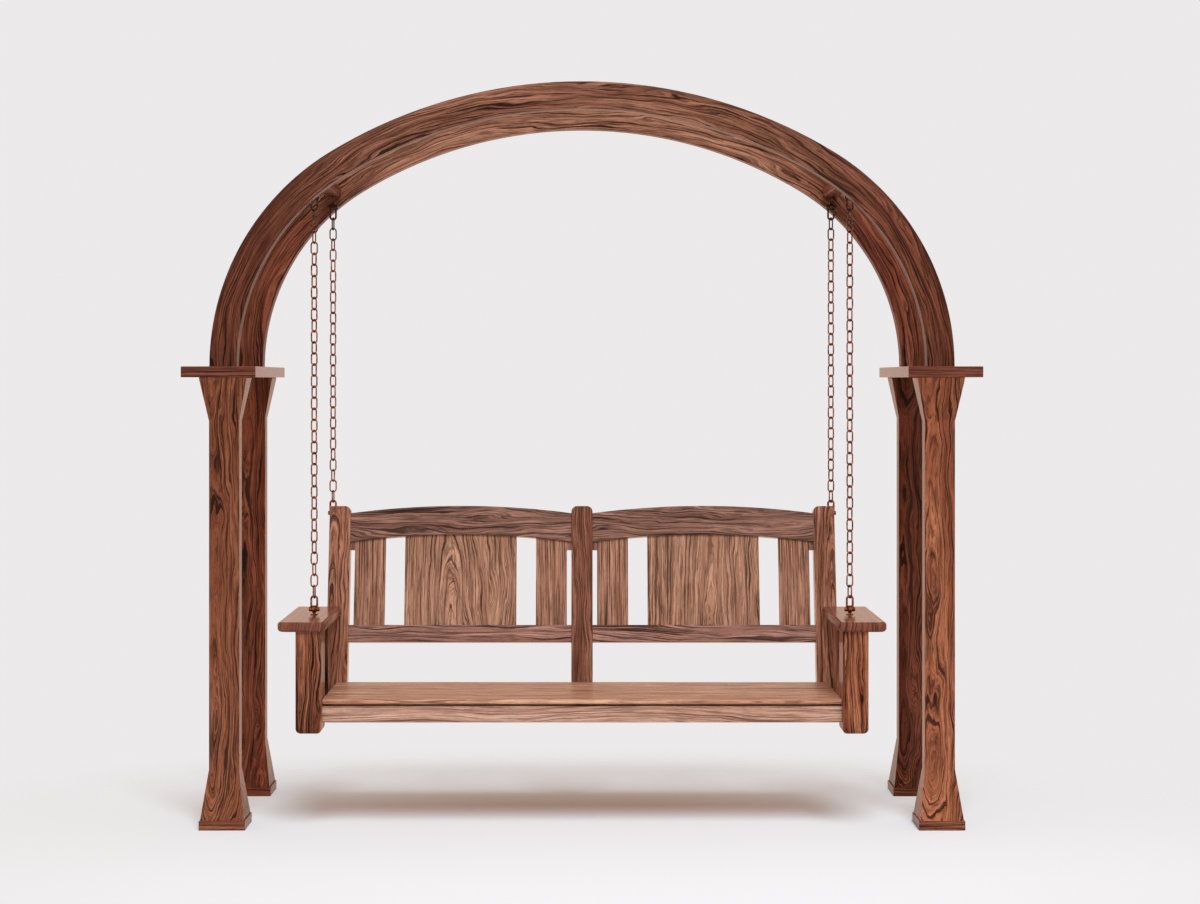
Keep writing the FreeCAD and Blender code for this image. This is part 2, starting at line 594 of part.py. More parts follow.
# Seat frame
RAIL_TOP = "( seat_top - board_thickness - rail_drop )"
RAIL_BASE = f"( {RAIL_TOP} - rail_height )"
BOARD_BASE = "( seat_top - board_thickness )"
RAIL_FRONT = f"( {LEG_FRONT} + rail_setback )"
front_rail = ("2 * leg_inner", "rail_thickness", "rail_height", "- leg_inner", RAIL_FRONT, RAIL_BASE)
rail = rail_blank("front_seat", *front_rail)
tenon, front_mortise = rail_tenons("front_seat", *front_rail)
finish(join("front_seat_rail", rail, tenon), "front_seat_rail")


def behind_back(name, inset=0):
    """A cutter for everything behind the front of the back posts, or behind the back rails."""
    item = doc.addObject("Part::Box", name)
    bind(item, Length="4 * leg_inner", Width="4 * seat_top", Height="4 * seat_top")
    item.Placement = BACK.multiply(at(-2 * size.leg_inner, inset, -2 * size.seat_top))
    return item


# Coach screws through the end back posts: one into each side rail, one into each arm
screw_heights = []
rail_middle = size.seat_top - size.board_thickness - size.rail_drop - size.rail_height / 2
lean_turn = math.radians(size.recline)
for level in (rail_middle, arm_base + size.arm_thickness / 2):
    screw_heights.append((level - size.seat_top) / math.cos(lean_turn))
screw_middle = size.leg_inner + size.rail_thickness / 2


def back_screw_hole(name, side, height):
    """A cutter for one coach screw, upright, as the leaning back is made."""
    item = doc.addObject("Part::Cylinder", name)
    bind(item, Radius="screw_diameter / 2 + joint_clearance", Height="screw_length + joint_clearance")
    item.Placement = at(side * screw_middle, size.back_post_thickness, height,
                        FreeCAD.Rotation(FreeCAD.Vector(1, 0, 0), 90))
    return item


screw_places = []
end_bearers = []
for side_name, side in SIDES:
    # Front leg, tenoned into the arm
    label = f"{side_name}_front_leg"
    leg_x = "leg_inner" if side > 0 else "- leg_inner - leg_width"
    leg_tall = "( arm_top - arm_thickness - leg_foot )"
    leg = block(label + "_timber", "leg_width", "leg_depth", leg_tall, leg_x, LEG_FRONT, "leg_foot")
    leg = ease(label + "_eased", leg, size.wood_edge, along("z"))
    leg = ease(label + "_rounded", leg, size.leg_corner,
               lambda edge: direction(edge) == "y" and edge.CenterOfMass.z < size.leg_foot + size.leg_corner)
    top_tenons = []
    for grow, tenon_name in (("0", "tenon"), ("joint_clearance", "mortise")):
        top_tenons.append(block(
            f"{label}_top_{tenon_name}", f"leg_tenon_width + 2 * {grow}", f"leg_tenon_width + 2 * {grow}",
            f"leg_tenon_length + {grow}", f"{leg_x} + ( leg_width - leg_tenon_width ) / 2 - {grow}",
            f"{LEG_FRONT} + ( leg_depth - leg_tenon_width ) / 2 - {grow}", "arm_top - arm_thickness"))
    leg_tenon, leg_mortise = top_tenons

    # Side rail from the leg to the back post
    label = f"{side_name}_side_rail"
    rail_x = "leg_inner" if side > 0 else "- leg_inner - rail_thickness"
    rail = block(label + "_timber", "rail_thickness", "2 * seat_top", "rail_height", rail_x,
                 f"{LEG_FRONT} + leg_depth", RAIL_BASE)
    rail = ease(label + "_eased", rail, size.wood_edge, along("y"))
    side_tenons = []
    for grow, tenon_name in (("0", "tenon"), ("joint_clearance", "mortise")):
        side_tenons.append(block(
            f"{label}_{tenon_name}", f"tenon_thickness + 2 * {grow}", f"tenon_length + 2 * {grow}",
            f"rail_height - 2 * tenon_shoulder + 2 * {grow}",
            f"{rail_x} + ( rail_thickness - tenon_thickness ) / 2 - {grow}",
            f"{LEG_FRONT} + leg_depth - tenon_length - {grow}", f"{RAIL_BASE} + tenon_shoulder - {grow}"))
    side_tenon, side_mortise = side_tenons
    rail = join(label + "_whole", rail, side_tenon)

    # Slat under the arm, let into the arm and the side rail
    slat_label = f"{side_name}_side_slat"
    slat_x = f"{rail_x} + ( rail_thickness - side_slat_thickness ) / 2"
    slat_tall = f"( arm_top - arm_thickness - {RAIL_TOP} + 2 * slat_tongue )"
    slat = block(slat_label + "_board", "side_slat_thickness", "side_slat_width", slat_tall, slat_x,
                 SLAT_FRONT, f"{RAIL_TOP} - slat_tongue")
    slat_mortise = block(slat_label + "_mortise", "side_slat_thickness + 2 * joint_clearance",
                         "side_slat_width + 2 * joint_clearance", f"{slat_tall} + 2 * joint_clearance",
                         f"{slat_x} - joint_clearance", f"{SLAT_FRONT} - joint_clearance",
                         f"{RAIL_TOP} - slat_tongue - joint_clearance")
    finish(ease(slat_label, slat, size.wood_edge, along("z")), slat_label)

    screw_holes = []
    for number, height in enumerate(screw_heights):
        hole = back_screw_hole(f"{side_name}_screw_{number}", side, height)
        hole.Placement = BACK.multiply(hole.Placement)
        screw_holes.append(hole)
        screw_places.append(BACK.multiply(at(side * screw_middle, size.back_post_thickness, height,
                                             FreeCAD.Rotation(FreeCAD.Vector(1, 0, 0), 90))))
    finish(cut(label, rail, behind_back(label + "_end"), slat_mortise, screw_holes[0]), label)
    leg_label = f"{side_name}_front_leg"
    finish(cut(leg_label, join(leg_label + "_whole", leg, leg_tenon), front_mortise, side_mortise), leg_label)

    # Arm, on the leg in front and against the back post behind
    label = f"{side_name}_arm"
    arm_x = ARM_INNER if side > 0 else f"- {ARM_INNER} - arm_width"
    arm = block(label + "_board", "arm_width", "2 * seat_top", "arm_thickness", arm_x, "- arm_lead",
                "arm_top - arm_thickness")
    arm = cut(label + "_trimmed", arm, behind_back(label + "_end"))
    arm = ease(label + "_cornered", arm, size.arm_corner,
               lambda edge: direction(edge) == "z" and edge.CenterOfMass.y < leg_front)
    arm = ease(label + "_eased", arm, size.arm_edge,
               lambda edge: edge.CenterOfMass.y < size.arm_corner - size.arm_lead
               and direction(edge) != "z" or direction(edge) == "y")
    bore = rod(label + "_bore", bolt_hole, "arm_thickness", f"{side} * {CHAIN_X['front']}",
               CHAIN_Y["front"], "arm_top - arm_thickness")
    finish(cut(label, arm, leg_mortise, slat_mortise, bore, screw_holes[1]), label)

    # End bearer on the side rail, under the seat boards' ends
    label = f"{side_name}_seat_bearer"
    bearer_x = "leg_inner - bearer_width" if side > 0 else "- leg_inner"
    bearer = block(label + "_timber", "bearer_width", "2 * seat_top", "bearer_height", bearer_x,
                   f"{RAIL_FRONT} + rail_thickness", f"{BOARD_BASE} - bearer_height")
    end_bearers.append(cut(label, bearer, behind_back(label + "_end")))

bearer = block("seat_centre_bearer_timber", "centre_bearer_width", "2 * seat_top",
               f"{BOARD_BASE} - {RAIL_BASE}", "- centre_bearer_width / 2", f"{RAIL_FRONT} + rail_thickness",
               RAIL_BASE)
# Its end butts against the rear rail and is notched under the centre post
post_notch = doc.addObject("Part::Box", "seat_centre_bearer_notch")
bind(post_notch, Length="back_post_width + 2 * joint_clearance", Width="back_post_thickness",
     Height="seat_top")
notch_place = at(-size.back_post_width / 2 - size.joint_clearance, -size.joint_clearance,
                 -size.rear_rail_top - size.joint_clearance)
post_notch.Placement = BACK.multiply(notch_place)
bearer_end = behind_back("seat_centre_bearer_end", size.back_rail_inset)
finish(cut("seat_centre_bearer", bearer, bearer_end, post_notch), "seat_centre_bearer")

board_middle = size.seat_inset - size.arm_lead + size.board_width / 2
for number in range(int(size.board_count)):
    label = f"seat_board_{number + 1}"
    board = block(label + "_timber", f"2 * {SEAT_HALF}", "board_width", "board_thickness", f"- {SEAT_HALF}",
                  f"{SEAT_FRONT} + {number} * board_pitch", BOARD_BASE)
    if number == 0:
        # The first board has a rounded nose over the front rail
        board = ease(label + "_nosed", board, size.seat_nose,
                     lambda edge: direction(edge) == "x" and edge.CenterOfMass.y < board_middle)
        eased = ease(label, board, size.wood_edge,
                     lambda edge: direction(edge) == "x" and edge.CenterOfMass.y > board_middle)
    else:
        eased = ease(label, board, size.wood_edge, along("xy"))
    finish(eased, label)

# The back, made upright from the seat's level and then leaned as one
POST_INNER = "( leg_inner - back_post_width / 2 )"
HALF_POST = "( back_post_width / 2 )"
BAY = f"( {POST_INNER} - {HALF_POST} )"
REAR_RAIL_BASE = "( - rear_rail_top - rail_height )"
rear_sizes = (f"2 * {POST_INNER}", "back_rail_thickness", "rail_height", f"- {POST_INNER}",
              "back_rail_inset", REAR_RAIL_BASE)
rear_rail = rail_blank("rear_seat", *rear_sizes)
rear_tenon, rear_mortise = rail_tenons("rear_seat", *rear_sizes)
foot_tenons = []
for grow, tenon_name in (("0", "tenon"), ("joint_clearance", "mortise")):
    foot_tenons.append(block(
        f"centre_post_{tenon_name}", f"leg_tenon_width + 2 * {grow}", f"tenon_thickness + 2 * {grow}",
        f"leg_tenon_length + {grow}", f"- leg_tenon_width / 2 - {grow}",
        f"back_rail_inset + ( back_rail_thickness - tenon_thickness ) / 2 - {grow}",
        f"- rear_rail_top - leg_tenon_length - {grow}"))
centre_tenon, centre_mortise = foot_tenons
finish(lean(cut("rear_seat_rail", join("rear_seat_rail_whole", rear_rail, rear_tenon), centre_mortise)),
       "rear_seat_rail")

end_mortises = [rear_mortise]
centre_mortises = []
# A crest rail is crowned: its upper and lower edges are arcs of one radius over its bay
CREST_RADIUS = f"( ( {BAY} * {BAY} / 4 + crest_rise * crest_rise ) / ( 2 * crest_rise ) )"
PANEL_TOP = "( crest_base + crest_rise + slat_tongue )"
bay = size.leg_inner - size.back_post_width
crest_radius = (bay ** 2 / 4 + size.crest_rise ** 2) / (2 * size.crest_rise)
slat_far = bay / 2 - size.slat_end_gap - size.slat_width
slat_sag = crest_radius - math.sqrt(crest_radius ** 2 - slat_far ** 2)
SLAT_TOP = f"( crest_base + crest_rise - {slat_sag} + slat_tongue )"
LOWER_TOP = "( lower_rail_base + lower_rail_height )"
narrow_slats = []
spacers = []
for side_name, side in SIDES:
    bay_x = HALF_POST if side > 0 else f"- {POST_INNER}"
    bay_middle = f"( {side} * ( {HALF_POST} + {BAY} / 2 ) )"
    lower_sizes = (BAY, "back_rail_thickness", "lower_rail_height", bay_x, "back_rail_inset",
                   "lower_rail_base")
    lower = rail_blank(f"{side_name}_lower", *lower_sizes)
    lower_tenon, lower_mortise = rail_tenons(f"{side_name}_lower", *lower_sizes)
    crest_tenon, crest_mortise = rail_tenons(
        f"{side_name}_crest", BAY, "back_rail_thickness", "crest_height - crest_rise", bay_x,
        "back_rail_inset", "crest_base + crest_rise")
    curves = []
    for edge_name, crown in (("top", "crest_base + crest_height + crest_rise"),
                             ("bottom", "crest_base + crest_rise")):
        curves.append(rod(f"{side_name}_crest_{edge_name}", CREST_RADIUS, "2 * back_post_thickness",
                          bay_middle, "- back_post_thickness / 2", f"{crown} - {CREST_RADIUS}", ALONG_Y))
    crest_top, crest_bottom = curves
    crest = block(f"{side_name}_crest_timber", BAY, "back_rail_thickness", "crest_height + crest_rise", bay_x,
                  "back_rail_inset", "crest_base")
    crest = overlap(f"{side_name}_crest_crowned", crest, crest_top)
    crest = cut(f"{side_name}_crest_arched", crest, crest_bottom)
    crest = ease(f"{side_name}_crest_eased", crest, size.wood_edge,
                 lambda edge: not isinstance(edge.Curve, Part.Line))
    end_mortises += [lower_mortise, crest_mortise]
    centre_mortises += [lower_mortise, crest_mortise]

    # Two narrow slats and a wide panel in each bay, let into both rails
    slots = []
    panel_width = f"( {BAY} - 2 * ( slat_end_gap + slat_width + slat_gap ) )"
    boards = [("panel", f"{bay_middle} - {panel_width} / 2", panel_width, PANEL_TOP)]
    for slat_name, slat_side in (("outer", side), ("inner", -side)):
        slat_middle = f"( {bay_middle} + {slat_side} * ( {BAY} / 2 - slat_end_gap - slat_width / 2 ) )"
        boards.append((slat_name, f"{slat_middle} - slat_width / 2", "slat_width", SLAT_TOP))
        spacer_x = f"{bay_middle} + {slat_side} * ( {BAY} / 2 - slat_end_gap / 2 ) - slat_end_gap / 2"
        spacer = block(f"{side_name}_{slat_name}_spacer_blank", "slat_end_gap", "slat_thickness",
                       "spacer_height + crest_rise", spacer_x, "slat_inset", "crest_base - spacer_height")
        spacers.append(overlap(f"{side_name}_{slat_name}_spacer", spacer, crest_bottom))
    for board_name, board_x, board_wide, board_top in boards:
        name = f"{side_name}_{board_name}_slat"
        foot = f"( {LOWER_TOP} - slat_tongue )"
        board_tall = f"( {board_top} - {foot} )"
        board = block(name + "_board", board_wide, "slat_thickness", board_tall, board_x, "slat_inset", foot)
        board = ease(name + "_eased", board, size.wood_edge, along("z"))
        slots.append(block(name + "_slot", f"{board_wide} + 2 * joint_clearance",
                           "slat_thickness + 2 * joint_clearance", f"{board_tall} + 2 * joint_clearance",
                           f"{board_x} - joint_clearance", "slat_inset - joint_clearance",
                           f"{foot} - joint_clearance"))
        if board_name == "panel":
            finish(lean(board), f"{side_name}_back_panel")
        else:
            narrow_slats.append(board)
    finish(lean(cut(f"{side_name}_lower_rail", join(f"{side_name}_lower_whole", lower, lower_tenon), *slots)),
           f"{side_name}_lower_rail")
    finish(lean(cut(f"{side_name}_crest_rail", join(f"{side_name}_crest_whole", crest, crest_tenon), *slots)),
           f"{side_name}_crest_rail")

doc.recompute()
group("narrow_back_slats", Part.makeCompound([item.Shape for item in narrow_slats]), [BACK])
group("slat_spacer_blocks", Part.makeCompound([item.Shape for item in spacers]), [BACK])

brackets = []
for side_name, side in SIDES:
    label = f"{side_name}_back_post"
    post = block(label + "_timber", "back_post_width", "back_post_thickness",
                 "back_post_top + back_post_foot", f"{side} * leg_inner - back_post_width / 2", "0",
                 "- back_post_foot")
    post = ease(label + "_rounded", post, size.back_post_corner,
                lambda edge: direction(edge) == "y" and edge.CenterOfMass.z > 0
                and abs(edge.CenterOfMass.x) < size.leg_inner)
    post = ease(label + "_eased", post, size.wood_edge, along("z"))
    holes = [back_screw_hole(f"{label}_screw_{number}", side, height)
             for number, height in enumerate(screw_heights)]
    bracket_holes = []
    for number in (0, 1):
        hole = doc.addObject("Part::Cylinder", f"{label}_bracket_screw_{number}")
        bind(hole, Radius="screw_diameter / 2 + joint_clearance",
             Height="bracket_screw_length + joint_clearance")
        bracket_holes.append(hole)
    pin_reach = BACK.inverse().multVec(FreeCAD.Vector(0, chain_y["rear"], bracket_pin))
    bracket_base = pin_reach.z + size.eye_radius - size.bracket_height
    for number, hole in enumerate(bracket_holes):
        level = bracket_base + size.bracket_height / 2 + (number - 1 / 2) * size.bracket_screw_spread
        hole.Placement = at(side * (size.leg_inner + size.bracket_screw_outset),
                            size.back_post_thickness + size.bracket_thickness, level,
                            FreeCAD.Rotation(FreeCAD.Vector(1, 0, 0), 90))
    finish(lean(cut(label, post, *end_mortises, *holes, *bracket_holes)), label)

    # Rear hanger bracket on the back of the post: a flange and a lug for the shackle's pin
    label = f"{side_name}_rear_bracket"
    plate = doc.addObject("Part::Box", label + "_flange")
    bind(plate, Length="bracket_width", Width="bracket_thickness", Height="bracket_height")
    flange_x = side * (size.leg_inner + size.bracket_outset) - size.bracket_width / 2
    plate.Placement = at(flange_x, size.back_post_thickness, bracket_base)
    arm_plate = doc.addObject("Part::Box", label + "_lug")
    bind(arm_plate, Length="eye_width", Height="2 * eye_radius")
    arm_plate.Width = pin_reach.y - size.back_post_thickness
    arm_plate.Placement = at(side * chain_x["rear"] - size.eye_width / 2, size.back_post_thickness,
                             pin_reach.z - size.eye_radius)
    lug = doc.addObject("Part::Cylinder", label + "_eye")
    bind(lug, Radius="eye_radius", Height="eye_width")
    lug.Placement = at(side * chain_x["rear"] - size.eye_width / 2, pin_reach.y, pin_reach.z, ALONG_X)
    bore = doc.addObject("Part::Cylinder", label + "_bore")
    bind(bore, Radius="pin_diameter / 2 + pin_clearance", Height="2 * eye_width")
    bore.Placement = at(side * chain_x["rear"] - size.eye_width, pin_reach.y, pin_reach.z, ALONG_X)
    brackets.append(cut(label, join(label + "_forging", plate, arm_plate, lug), bore, *bracket_holes))

post = block("centre_back_post_timber", "back_post_width", "back_post_thickness",
             "back_post_top + rear_rail_top", f"- {HALF_POST}", "0", "- rear_rail_top")
post = ease("centre_back_post_rounded", post, size.back_post_corner,
            lambda edge: direction(edge) == "y" and edge.CenterOfMass.z > 0)
post = ease("centre_back_post_eased", post, size.wood_edge, along("z"))
post = cut("centre_back_post_mortised", post, *centre_mortises)
finish(lean(join("centre_back_post", post, centre_tenon)), "centre_back_post")


def coach_screw(name, length):
    """A coach screw whose head seats at the origin and whose shank goes up from it."""
    shank = rod(name + "_shank", "screw_diameter / 2", length, "0", "0", "0")
    head = doc.addObject("Part::Prism", name + "_head")
    head.Polygon = 6
    bind(head, Circumradius="screw_head_radius", Height="screw_head_height")
    put(head, "0", "0", "- screw_head_height")
    return join(name, shank, head)


back_screw = coach_screw("back_screw", "screw_length")
bracket_screw = coach_screw("bracket_screw", "bracket_screw_length")
doc.recompute()
bracket_screw_places = []
for side_name, side in SIDES:
    for number in (0, 1):
        hole = doc.getObject(f"{side_name}_back_post_bracket_screw_{number}")
        bracket_screw_places.append(BACK.multiply(hole.Placement))
group("rear_brackets", Part.makeCompound([item.Shape for item in brackets]), [BACK])
group("seat_end_bearers", Part.makeCompound([item.Shape for item in end_bearers]), [at(0, 0, 0)])
group("back_screws", back_screw.Shape, screw_places)
group("bracket_screws", bracket_screw.Shape, bracket_screw_places)

# Nothing is written unless every object is sound
doc.recompute()
for item in doc.Objects:
    if "Invalid" in item.State or "Error" in item.State:
        raise RuntimeError(f"{item.Name} failed: {item.State}")
for item in sub_parts:
    if item.Shape.isNull() or not item.Shape.isValid() or not item.Shape.Solids:
        raise RuntimeError(f"{item.Label} has no sound solid")

os.makedirs("parts", exist_ok=True)
for item in sub_parts:
    item.Shape.exportStep(f"parts/{item.Label}.step")
print(len(sub_parts), "pieces, hanger pin", hanger_pin, "bracket pin", bracket_pin, "pitch", link_pitch)
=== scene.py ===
import bpy
import bmesh
import math
from mathutils import Matrix, Vector


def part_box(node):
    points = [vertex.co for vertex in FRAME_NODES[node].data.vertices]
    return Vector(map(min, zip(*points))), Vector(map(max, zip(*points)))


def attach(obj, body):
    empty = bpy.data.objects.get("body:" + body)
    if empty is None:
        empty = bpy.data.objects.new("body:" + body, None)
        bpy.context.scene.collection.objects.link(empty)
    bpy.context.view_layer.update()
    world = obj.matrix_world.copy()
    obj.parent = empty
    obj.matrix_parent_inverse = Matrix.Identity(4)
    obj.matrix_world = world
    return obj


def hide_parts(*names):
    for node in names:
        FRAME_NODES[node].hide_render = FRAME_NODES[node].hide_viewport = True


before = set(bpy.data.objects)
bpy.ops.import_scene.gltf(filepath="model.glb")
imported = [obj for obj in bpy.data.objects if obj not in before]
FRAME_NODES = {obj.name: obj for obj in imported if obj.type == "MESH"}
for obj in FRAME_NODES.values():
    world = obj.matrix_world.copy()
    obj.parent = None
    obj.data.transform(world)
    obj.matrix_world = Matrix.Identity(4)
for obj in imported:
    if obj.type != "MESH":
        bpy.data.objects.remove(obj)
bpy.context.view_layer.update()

# The view: from in front of the swing, level, at about the height of the cap plates.
# Upright lines stay upright, so the lens is shifted and not tilted.
EYE_DISTANCE = 7.281
EYE_HEIGHT = 1.478
QUARTER_TURN = math.radians(90)
front_lens = bpy.data.cameras.new("front_view")
front_lens.sensor_width = 36.0
front_lens.lens = 63.6
front_lens.shift_x = 0.015
front_lens.shift_y = -0.06
front_view = bpy.data.objects.new("front_view", front_lens)
front_view.location = (0, -EYE_DISTANCE, EYE_HEIGHT)
front_view.rotation_euler = (QUARTER_TURN, 0, 0)
bpy.context.collection.objects.link(front_view)
bpy.context.scene.camera = front_view
bpy.context.scene.view_settings.view_transform = "Standard"


# The studio: a pale floor that fades into a plain backdrop, a large soft lamp above, low fill lamps in front,
# behind and on both sides, and even light from all round. None of it is part of the swing.
class Shade:
    """One value of a material's nodes, so that sums and products of values read as such."""

    # A Mix node has its numbers, vectors and colours under the same names, so its colours go by their places
    MIX_FACTOR = 0
    MIX_FIRST_COLOUR = 6
    MIX_SECOND_COLOUR = 7
    MIXED_COLOUR = 2

    def __init__(self, tree, socket=None):
        self.tree = tree
        self.socket = socket

    def node(self, kind, settings=None, values=None, out=0):
        """Add a node of any kind: its settings first, then the values or links of its sockets."""
        made = self.tree.nodes.new(kind)
        for setting, choice in (settings or {}).items():
            setattr(made, setting, choice)
        for place, value in (values or {}).items():
            if isinstance(value, Shade):
                self.tree.links.new(value.socket, made.inputs[place])
            else:
                made.inputs[place].default_value = value
        if made.outputs:
            return Shade(self.tree, made.outputs[out])

    def math(self, operation, *terms):
        """A Math node on numbers."""
        return self.node("ShaderNodeMath", {"operation": operation}, dict(enumerate(terms)))

    def vector_math(self, operation, *terms, out="Vector"):
        """A Vector Math node: out is Value where the outcome is a number."""
        return self.node("ShaderNodeVectorMath", {"operation": operation}, dict(enumerate(terms)), out)

    def __add__(self, other):
        return self.math("ADD", self, other)

    def __sub__(self, other):
        return self.math("SUBTRACT", self, other)

    def __rsub__(self, other):
        return self.math("SUBTRACT", other, self)

    def __mul__(self, other):
        return self.math("MULTIPLY", self, other)

    __radd__ = __add__
    __rmul__ = __mul__

    def step(self, low, high):
        """From 0 below low to 1 above high, with soft ends."""
        return self.node("ShaderNodeMapRange", {"interpolation_type": "SMOOTHSTEP"},
                         {"Value": self, "From Min": low, "From Max": high})

    def blend(self, first, second):
        """The first colour where this value is 0 and the second where it is 1."""
        sockets = {self.MIX_FACTOR: self, self.MIX_FIRST_COLOUR: first, self.MIX_SECOND_COLOUR: second}
        return self.node("ShaderNodeMix", {"data_type": "RGBA"}, sockets, self.MIXED_COLOUR)

    def mix_shaders(self, first, second):
        """The first shader where this value is 0 and the second where it is 1."""
        return self.node("ShaderNodeMixShader", None, dict(enumerate((self, first, second))))


SCREEN_WHITE = 255
SCREEN_GAMMA = 2.2


def paint(red, green, blue):
    """A colour as seen on a screen, 0 to 255, as the shaders want it."""
    return tuple((part / SCREEN_WHITE) ** SCREEN_GAMMA for part in (red, green, blue)) + (1,)


def bare_material(name):
    """A material with nothing in it but each point's place on its piece, in metres."""
    material = bpy.data.materials.new(name)
    material.use_nodes = True
    material.node_tree.nodes.clear()
    start = Shade(material.node_tree)
    return material, start, start.node("ShaderNodeTexCoord", out="Object")


FLOOR_SIZE = 30
FLOOR_COLOUR = paint(246, 245, 247)
# The floor fades sooner behind the swing than beside it or in front
FADE_STRETCH = (0.7, 1.2, 1)
FADE_SHIFT = (0, 0.7, 0)
FADE_FROM = 0.6
FADE_TO = 2.3
bpy.ops.object.select_all(action="DESELECT")
bpy.ops.mesh.primitive_plane_add(size=FLOOR_SIZE, location=(0, 0, 0))
floor = bpy.context.object
floor.name = "studio_floor"
material, start, place = bare_material("pale_floor")
stretched = start.vector_math("MULTIPLY_ADD", place, FADE_STRETCH, FADE_SHIFT)
distance = start.vector_math("LENGTH", stretched, out="Value")
matt = start.node("ShaderNodeBsdfDiffuse", None, {"Color": FLOOR_COLOUR})
clear = start.node("ShaderNodeBsdfTransparent")
surface = distance.step(FADE_FROM, FADE_TO).mix_shaders(matt, clear)
start.node("ShaderNodeOutputMaterial", None, {"Surface": surface})
floor.data.materials.append(material)

# What the studio sends out: warm even light, a warm gleam on smooth faces, and the backdrop that is seen
EVEN_COLOUR = (1, 0.69, 0.50, 1)
EVEN_STRENGTH = 0.40
GLEAM_COLOUR = paint(255, 222, 202)
GLEAM_STRENGTH = 1.25
BACKDROP_COLOUR = paint(235, 233, 234)
studio = bpy.data.worlds.new("studio")
bpy.context.scene.world = studio
studio.use_nodes = True
studio.node_tree.nodes.clear()
start = Shade(studio.node_tree)
even = start.node("ShaderNodeBackground", None, {"Color": EVEN_COLOUR, "Strength": EVEN_STRENGTH})
gleam = start.node("ShaderNodeBackground", None, {"Color": GLEAM_COLOUR, "Strength": GLEAM_STRENGTH})
backdrop = start.node("ShaderNodeBackground", None, {"Color": BACKDROP_COLOUR, "Strength": 1})
sky = even
for ray, light in (("Is Glossy Ray", gleam), ("Is Transmission Ray", backdrop), ("Is Camera Ray", backdrop)):
    sky = start.node("ShaderNodeLightPath", out=ray).mix_shaders(sky, light)
start.node("ShaderNodeOutputWorld", None, {"Surface": sky})

LAMP_AIM = Vector((0, 0, 0.6))
LAMP_COLOUR = (0.775, 0.915, 1)
# Each lamp's place, width and watts. The soft lamp alone casts shadows
LAMPS = {"soft_lamp": ((1.3, -8.7, 11.0), 7.0, 1840),
         "fill_lamp": ((-1.2, -11.5, -1.6), 4.0, 375),
         "back_lamp": ((1.2, 11.5, -1.6), 4.0, 450),
         "left_lamp": ((-11.5, 0.6, -1.6), 4.0, 240),
         "right_lamp": ((11.5, 0.6, -1.6), 4.0, 240)}
for name, (stand, width, watts) in LAMPS.items():
    lamp = bpy.data.lights.new(name, "AREA")
    lamp.shape = "DISK"
    lamp.size = width
    lamp.energy = watts
    lamp.color = LAMP_COLOUR
    lamp.use_shadow = name == "soft_lamp"
    lamp_stand = bpy.data.objects.new(name, lamp)
    lamp_stand.location = stand
    lamp_stand.visible_camera = False
    lamp_stand.visible_glossy = False
    lamp_stand.rotation_euler = (LAMP_AIM - Vector(stand)).to_track_quat("-Z", "Y").to_euler()
    bpy.context.collection.objects.link(lamp_stand)


# Posts: squared hardwood with flared feet and capitals, each cut from one length with its grain upright.
# Oiled to a satin finish, with near-black lines that swirl. The plinth's grain lies across.
ACROSS = Vector((1, 0, 0))
BACKWARD = Vector((0, 1, 0))
UPWARD = Vector((0, 0, 1))
# A figure is how the growth rings lie in the timber: the heart's distance beside the face and behind it,
# how fast the rings run out of the face, how far the fibres wander, and how often along the grain
SWIRLING = (0.03, 0.05, 0.03, 0.060, 2.2)
ARCHING = (0.00, 0.03, 0.09, 0.050, 2.4)
FLOWING = (0.12, 0.06, 0.03, 0.060, 1.8)
STRAIGHT = (0.30, 0.05, 0.00, 0.016, 0.9)
WAVY = (0.30, 0.05, 0.00, 0.030, 2.0)
DRIFTING = (0.16, 0.06, 0.02, 0.045, 1.6)
# How often each part of the grain changes in a metre: along the timber, across it, or through its rings
DRIFTS_ACROSS = 9.0
RIPPLES_ACROSS = 36.0
SLOW_ALONG = 1.3
BANDS_THROUGH = 70.0
RINGS_THROUGH = 240.0
HAIRS_THROUGH = 900.0
STREAKS_ALONG = 10.0
STREAKS_ACROSS = 60.0
STREAKS_THROUGH = 200.0
FIBRES_ALONG = 14.0
FIBRES_ACROSS = 380.0
PORES_ALONG = 40.0
PORES_ACROSS = 600.0
# How much faster than the drift or the slow change a part runs along the timber, or is carried by it
RIPPLE_PACE = 5
RING_PACE = 1.5
HAIR_PACE = 4.0
STREAK_CARRY = 3.0
# How much of a figure's wandering goes sideways, and how much of it is ripple
SIDEWAYS_SHARE = 0.8
RIPPLE_SHARE = 0.2
# How far a seed moves each part, so that no two timbers are alike, and where the rings and hairs start
DRIFT_SHIFT = 7.3
SIDE_SHIFT = 1.7
RIPPLE_SHIFT = 3.1
SLOW_SHIFT = 5.0
STREAK_SHIFT = 2.0
RING_START = 3.0
HAIR_START = 6.0
# A noise runs from 0 to 1 about its middle: where in it each part begins to show and where it shows in full
NOISE_MIDDLE = 0.5
BROWN_SPAN = (0.36, 0.60)
FIBRE_SPAN = (0.40, 0.68)
STREAK_SPAN = (0.46, 0.66)
HAIR_SPAN = (0.46, 0.64)
LINE_SPAN = (0.51, 0.62)
BAND_SPAN = (0.56, 0.74)
PORE_SPAN = (0.60, 0.70)
# How strong each part's colour is, and how far the lines gain with the bands that they lie in
FIBRE_STRENGTH = 0.45
STREAK_STRENGTH = 0.60
HAIR_STRENGTH = 0.45
LINE_STRENGTH = 0.60
LINE_GAIN = 0.6
BAND_STRENGTH = 0.12
PORE_STRENGTH = 0.45
